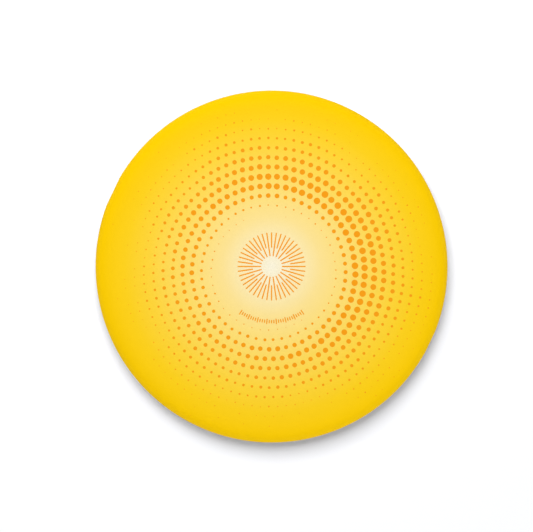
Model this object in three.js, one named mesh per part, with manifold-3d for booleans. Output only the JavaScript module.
// A soft flying disc: a foam plate and a foam rim in a printed knit cover, with a plastic hoop in the rim.
// Millimetres, +Z up. The origin is the centre of the ring that the disc rests on, at the resting plane.
import * as THREE from "three";
import { mergeVertices } from "three/addons/utils/BufferGeometryUtils.js";
import Module from "manifold-3d";

// ---------- Driving dimensions ----------
const discDiameter = 275;
const discHeight = 28;
const crownRise = 3; // the plate's centre above its edge
const rimWidth = 17; // from the outermost line in to the finger wall
const widestHeight = 12.5; // where the rim is widest
const fabricThickness = 1.2; // brushed knit on a thin foam backing
const plateThickness = 5;
const plateOverlap = 5.5; // how far the plate reaches out over the rim foam
const gap = 0.3; // between pieces that lie against each other

const tapeWidth = 8;
const tapeThickness = 1.2;
const threadSize = 0.5;
const stitchInset = 1.8; // from the tape's edge to its row of stitches
const fingerTurnHeight = 6; // the round between the seat and the finger wall
const fingerFillet = 4; // the round between the finger wall and the ceiling

const panelSeamInset = 8.5; // from the finger wall in to the seam of the under panel
const flatlockWidth = 4;
const flatlockThickness = 0.5;

const hoopDiameter = 8;
const hoopWall = 1.2;
const hoopClearance = 0.4; // in the foam's channel
const slitWidth = 2; // the cut that the hoop is pressed in through
const plugLength = 16;
const plugClearance = 0.4;
const plugBarbs = 3; // on each side of the collar
const collarThickness = 1.5;

const labelLength = 24;
const labelWidth = 14;
const labelThickness = 0.8;
const labelAngle = -90; // degrees round the disc

// The hoop is two half rings. It stays straight over each plug, and the rim with it.
const jointAngle = 154.5; // degrees, of the left joint. The right one is opposite.
const leftFlat = 25;
const rightFlat = 18;

const segments = 48; // facets round the disc, two of them centred on the joints
const tubeSides = 8;

// ---------- Derived sizes ----------
const outerRadius = discDiameter / 2;
const fingerWallRadius = outerRadius - rimWidth;
const seamRadius = outerRadius - rimWidth / 2;
const plateRadius = fingerWallRadius + plateOverlap;
const panelSeamRadius = fingerWallRadius - panelSeamInset;
const seatHeight = tapeThickness + gap; // underside of the turned-in covers
const turnWidth = (rimWidth - tapeWidth) / 2;
const edgeHeight = discHeight - crownRise;
const hoopRadius = hoopDiameter / 2;
const boreRadius = hoopRadius - hoopWall;
const facetMiddle = Math.cos(Math.PI / segments); // of a facet's corner radius

// Depths below the disc's upper surface, layer by layer.
const plateTop = fabricThickness + gap;
const plateBottom = plateTop + plateThickness;
const panelTop = plateBottom + gap;
const panelBottom = panelTop + fabricThickness;
const flatlockTop = panelBottom + gap;
const flatlockBottom = flatlockTop + flatlockThickness;

// ---------- Materials ----------
const knit = (name, color) => new THREE.MeshStandardMaterial({ name, color, roughness: 0.85, metalness: 0 });
const printedKnit = knit("printed_knit", 0xfdcd0a);
const plainKnit = knit("plain_knit", 0xf4b400);
const tapeWeave = knit("tape_weave", 0xf59a14);
const thread = knit("thread", 0xf79f1b);
const labelSatin = new THREE.MeshStandardMaterial({ color: 0xfbf3dc, roughness: 0.5, metalness: 0 });
const foam = new THREE.MeshStandardMaterial({ color: 0xf2efe6, roughness: 0.95, metalness: 0 });
const tubePlastic = new THREE.MeshStandardMaterial({ color: 0xe9e6dc, roughness: 0.4, metalness: 0 });
const plugPlastic = new THREE.MeshStandardMaterial({ color: 0x2c2c2e, roughness: 0.5, metalness: 0 });

// ---------- Lines in section: x is the distance from the axis, y the height ----------
const at = (radius, height) => new THREE.Vector2(radius, height);

const crownHeight = (radius) => discHeight - crownRise * (radius / fingerWallRadius) ** 2;

// A quarter turn from start to end, leaving along one direction and arriving along another.
function quarterTurn(start, leaving, end, arriving, steps) {
  const bow = 0.5523; // the handle length that makes a cubic curve a quarter circle
  const reach = at(Math.abs(end.x - start.x), Math.abs(end.y - start.y)).multiplyScalar(bow);
  const first = start.clone().add(leaving.clone().multiply(reach));
  const second = end.clone().sub(arriving.clone().multiply(reach));
  return new THREE.CubicBezierCurve(start, first, second, end).getPoints(steps);
}

// The line moved sideways, towards the right of its direction of travel.
function inset(line, distance) {
  return line.map((point, i) => {
    const before = line[Math.max(i - 1, 0)];
    const after = line[Math.min(i + 1, line.length - 1)];
    const along = after.clone().sub(before).normalize();
    if (point.x === 0) along.set(1, 0);
    return at(point.x + along.y * distance, point.y - along.x * distance);
  });
}

// Where a line first reaches a radius, cut into what comes before and what comes after.
function splitAtRadius(line, radius) {
  const next = line.findIndex((point) => point.x >= radius);
  const share = (radius - line[next - 1].x) / (line[next].x - line[next - 1].x);
  const cut = line[next - 1].clone().lerp(line[next], share);
  return [[...line.slice(0, next), cut], [cut.clone(), ...line.slice(next)]];
}

const upTo = (line, radius) => splitAtRadius(line, radius)[0];
const from = (line, radius) => splitAtRadius(line, radius)[1];
const between = (line, inner, outer) => from(upTo(line, outer), inner);

// The outside of the printed cover, from the crown's centre over the rim and in to the seam below it.
function skinLine() {
  const crownSteps = 4;
  const crown = [];
  for (let i = 0; i < crownSteps; i++) {
    const radius = (fingerWallRadius * i) / crownSteps;
    crown.push(at(radius, crownHeight(radius)));
  }
  const edge = at(fingerWallRadius, edgeHeight);
  const widest = at(outerRadius, widestHeight);
  const seat = at(seamRadius + tapeWidth / 2, seatHeight);
  const slope = (-2 * crownRise) / fingerWallRadius;
  const shoulder = quarterTurn(edge, at(1, slope), widest, at(0, -1), 6);
  const underTurn = quarterTurn(widest, at(0, -1), seat, at(-1, 0), 4);
  return [...crown, ...shoulder, ...underTurn.slice(1), at(seamRadius + gap / 2, seatHeight)];
}

const skin = skinLine();

// The side of the rim lining that fingers touch, from the panel seam out over the wall and down to the seat.
function fingerLine() {
  const ceiling = inset(skin, panelBottom);
  const ceilingEnd = from(ceiling, fingerWallRadius - fingerFillet)[0];
  const wallTop = at(fingerWallRadius, ceilingEnd.y - fingerFillet);
  const wallFoot = at(fingerWallRadius, seatHeight + fingerTurnHeight);
  const seat = at(seamRadius - tapeWidth / 2, seatHeight);
  return [
    from(ceiling, panelSeamRadius + gap / 2)[0],
    ...quarterTurn(ceilingEnd, at(1, 0), wallTop, at(0, -1), 4),
    ...quarterTurn(wallFoot, at(0, -1), seat, at(1, 0), 4),
    at(seamRadius - gap / 2, seatHeight),
  ];
}

const finger = fingerLine();

// A regular section for tubes and threads, with a flat side at the bottom.
function polygon(centre, radius, sides) {
  const corners = [];
  for (let i = 0; i < sides; i++) {
    const angle = -Math.PI / 2 + (Math.PI * (2 * i + 1)) / sides;
    corners.push(at(centre.x + radius * Math.cos(angle), centre.y + radius * Math.sin(angle)));
  }
  return corners;
}

// The hoop lies midway between the foam's underside and the ledge that carries the plate.
const foamFoot = seatHeight + plateTop;
const ledgeHeight = from(inset(skin, panelTop), seamRadius - hoopRadius)[0].y;
const hoopCentre = at(seamRadius, (foamFoot + ledgeHeight) / 2);

// ---------- Turned pieces ----------

const radians = THREE.MathUtils.degToRad;
const joints = [
  { angle: radians(jointAngle), middle: straightMiddle(leftFlat) },
  { angle: radians(jointAngle + 180), middle: straightMiddle(rightFlat) },
];

// How far out the middle of a straight stretch lies, as a share of the round radius.
function straightMiddle(flat) {
  return Math.cos(Math.asin(flat / 2 / outerRadius));
}

// How much nearer the axis the rim lies at an angle, because the hoop is straight at its joints.
function planScale(angle) {
  const shares = joints.map((joint) => joint.middle / Math.max(Math.cos(angle - joint.angle), 1e-6));
  return Math.min(1, ...shares);
}

// A closed section turned round the Z axis, and drawn in wherever the hoop is straight.
function turnedGeometry(section) {
  const start = radians(jointAngle) + Math.PI / segments + Math.PI / 2;
  const geometry = new THREE.LatheGeometry(section, segments, start, 2 * Math.PI).rotateX(Math.PI / 2);
  const position = geometry.getAttribute("position");
  for (let i = 0; i < position.count; i++) {
    const scale = planScale(Math.atan2(position.getY(i), position.getX(i)));
    position.setX(i, position.getX(i) * scale);
    position.setY(i, position.getY(i) * scale);
  }
  geometry.computeVertexNormals();
  return geometry;
}

function named(name, geometry, material) {
  const mesh = new THREE.Mesh(geometry, material);
  mesh.name = name;
  return mesh;
}

const closed = (points) => [...points, points[0].clone()];
const reversed = (points) => [...points].reverse();

// A sheet whose two faces are lines that run outwards from the axis or from an inner edge.
const sheetSection = (lower, upper) => [...lower, ...reversed(upper)];

// ---------- The textile shell ----------

function topCover() {
  const section = sheetSection(inset(skin, fabricThickness), skin);
  return named("top_cover", turnedGeometry(section), printedKnit);
}

function underPanel() {
  const edge = panelSeamRadius - gap / 2;
  const section = sheetSection(upTo(inset(skin, panelBottom), edge), upTo(inset(skin, panelTop), edge));
  return named("under_panel", turnedGeometry(section), plainKnit);
}

function rimLining() {
  const section = closed(sheetSection(finger, inset(finger, -fabricThickness)));
  return named("rim_lining", turnedGeometry(section), plainKnit);
}

// The flat row of thread that joins the under panel to the rim lining, edge to edge.
function flatlockSeam() {
  const inner = panelSeamRadius - flatlockWidth / 2;
  const outer = panelSeamRadius + flatlockWidth / 2;
  const lower = between(inset(skin, flatlockBottom), inner, outer);
  const upper = between(inset(skin, flatlockTop), inner, outer);
  return named("flatlock_seam", turnedGeometry(closed(sheetSection(lower, upper))), thread);
}

const stitchRadii = {
  tape_stitch_inner: seamRadius - tapeWidth / 2 + stitchInset,
  tape_stitch_outer: seamRadius + tapeWidth / 2 - stitchInset,
};

// The tape over the seam where the cover and the lining meet. Its stitches lie sunk in two furrows.
function seamTape() {
  const furrowDepth = threadSize + gap;
  const furrowHalf = threadSize / 2 + gap;
  const foot = [at(seamRadius - tapeWidth / 2, 0)];
  for (const radius of Object.values(stitchRadii)) {
    foot.push(at(radius - furrowHalf, 0), at(radius - furrowHalf, furrowDepth));
    foot.push(at(radius + furrowHalf, furrowDepth), at(radius + furrowHalf, 0));
  }
  foot.push(at(seamRadius + tapeWidth / 2, 0));
  const top = [at(seamRadius - tapeWidth / 2, tapeThickness), at(seamRadius + tapeWidth / 2, tapeThickness)];
  return named("seam_tape", turnedGeometry(closed(sheetSection(foot, top))), tapeWeave);
}

function tapeStitches() {
  return Object.entries(stitchRadii).map(([name, radius]) => {
    const section = polygon(at(radius, threadSize / 2), threadSize / Math.SQRT2, 4);
    return named(name, turnedGeometry(closed(section)), thread);
  });
}

// A blank folded label, sewn in at the flatlock seam and lying along the under panel.
function careLabel() {
  const outer = (panelSeamRadius - flatlockWidth / 2) * facetMiddle - gap;
  const [root, tip] = [outer, outer - labelLength].map((radius) => from(inset(skin, flatlockTop), radius)[0]);
  const label = named("care_label", new THREE.BoxGeometry(labelLength, labelWidth, labelThickness), labelSatin);
  label.position.set((root.x + tip.x) / 2, 0, (root.y + tip.y) / 2 - labelThickness / 2);
  label.rotation.y = Math.atan2(tip.y - root.y, root.x - tip.x);
  const place = new THREE.Group();
  place.rotation.z = radians(labelAngle);
  place.add(label);
  return place;
}

// ---------- The foam inside ----------

function foamPlate() {
  const section = sheetSection(upTo(inset(skin, plateBottom), plateRadius), upTo(inset(skin, plateTop), plateRadius));
  return named("foam_plate", turnedGeometry(section), foam);
}

// The rim's foam, with a ledge for the plate's edge and a channel that the hoop is pressed into from below.
function foamRim() {
  const foamInner = fingerWallRadius + plateTop;
  const plateStop = plateRadius + gap;
  const ledge = between(inset(skin, panelTop), foamInner, plateStop);
  const outside = from(inset(skin, plateTop), plateStop).slice(0, -1);
  const inside = inset(finger, -plateTop).filter((point) => point.y < ledge[0].y && point.x >= foamInner);
  const channel = polygon(hoopCentre, hoopRadius + hoopClearance, tubeSides);
  const channelFoot = channel[0].y;
  const [slitInner, slitOuter] = [seamRadius - slitWidth / 2, seamRadius + slitWidth / 2];
  const section = [
    ...ledge,
    ...outside,
    at(slitOuter, foamFoot),
    at(slitOuter, channelFoot),
    ...channel,
    at(slitInner, channelFoot),
    at(slitInner, foamFoot),
    ...reversed(inside.slice(0, -1)),
  ];
  return named("foam_rim", turnedGeometry(closed(reversed(section))), foam);
}

// ---------- The hoop ----------
const wasm = await Module();
wasm.setup();

function toSolid(geometry) {
  const bare = geometry.clone();
  bare.deleteAttribute("normal");
  bare.deleteAttribute("uv");
  const merged = mergeVertices(bare, 1e-3);
  const vertProperties = new Float32Array(merged.getAttribute("position").array);
  return new wasm.Manifold(new wasm.Mesh({ numProp: 3, vertProperties, triVerts: new Uint32Array(merged.index.array) }));
}

function toGeometry(solid) {
  const mesh = solid.getMesh();
  const geometry = new THREE.BufferGeometry();
  geometry.setAttribute("position", new THREE.BufferAttribute(new Float32Array(mesh.vertProperties), 3));
  geometry.setIndex(new THREE.BufferAttribute(new Uint32Array(mesh.triVerts), 1));
  geometry.computeVertexNormals();
  return geometry;
}

// Two half rings of tube: a whole ring, less its bore, less the room for the two plugs' collars.
function hoopHalves() {
  const ring = toSolid(turnedGeometry(closed(polygon(hoopCentre, hoopRadius, tubeSides))));
  const bore = toSolid(turnedGeometry(closed(polygon(hoopCentre, boreRadius, tubeSides))));
  const tube = ring.subtract(bore);
  const jointRoom = collarThickness / 2 + gap;
  return [["rim_hoop_right", -90], ["rim_hoop_left", 90]].map(([name, turn]) => {
    const half = new THREE.BoxGeometry(discDiameter, discDiameter, discHeight);
    half.translate(discDiameter / 2 + jointRoom, 0, hoopCentre.y);
    half.rotateZ(joints[0].angle + radians(turn));
    return named(name, toGeometry(tube.intersect(toSolid(half))), tubePlastic);
  });
}

// A barbed plug with a collar, joining the tube's ends.
function hoopPlug(name, joint) {
  const acrossFlats = Math.cos(Math.PI / tubeSides); // of the tube's corner radius
  const collarRadius = hoopRadius * acrossFlats;
  const plugRadius = boreRadius * acrossFlats - plugClearance;
  const barb = (plugLength - collarThickness) / 2 / plugBarbs;
  const waist = plugRadius * 0.8; // the thin end of each barb
  const half = [at(collarRadius, collarThickness / 2)];
  for (let i = 0; i < plugBarbs; i++) {
    half.push(at(plugRadius, collarThickness / 2 + barb * i));
    half.push(at(waist, collarThickness / 2 + barb * (i + 1)));
  }
  half.push(at(0, plugLength / 2));
  const otherHalf = reversed(half).map((point) => at(point.x, -point.y));
  const plug = named(name, new THREE.LatheGeometry([...otherHalf, ...half], tubeSides * 2), plugPlastic);
  plug.position.set(hoopCentre.x * Math.min(joint.middle, facetMiddle), 0, hoopCentre.y);
  const place = new THREE.Group();
  place.rotation.z = joint.angle;
  place.add(plug);
  return place;
}

// ---------- Assembly ----------
const disc = new THREE.Group();
disc.add(topCover(), underPanel(), rimLining(), flatlockSeam(), seamTape(), ...tapeStitches(), careLabel());
disc.add(foamPlate(), foamRim(), ...hoopHalves());
disc.add(hoopPlug("hoop_plug_left", joints[0]), hoopPlug("hoop_plug_right", joints[1]));

export default disc;
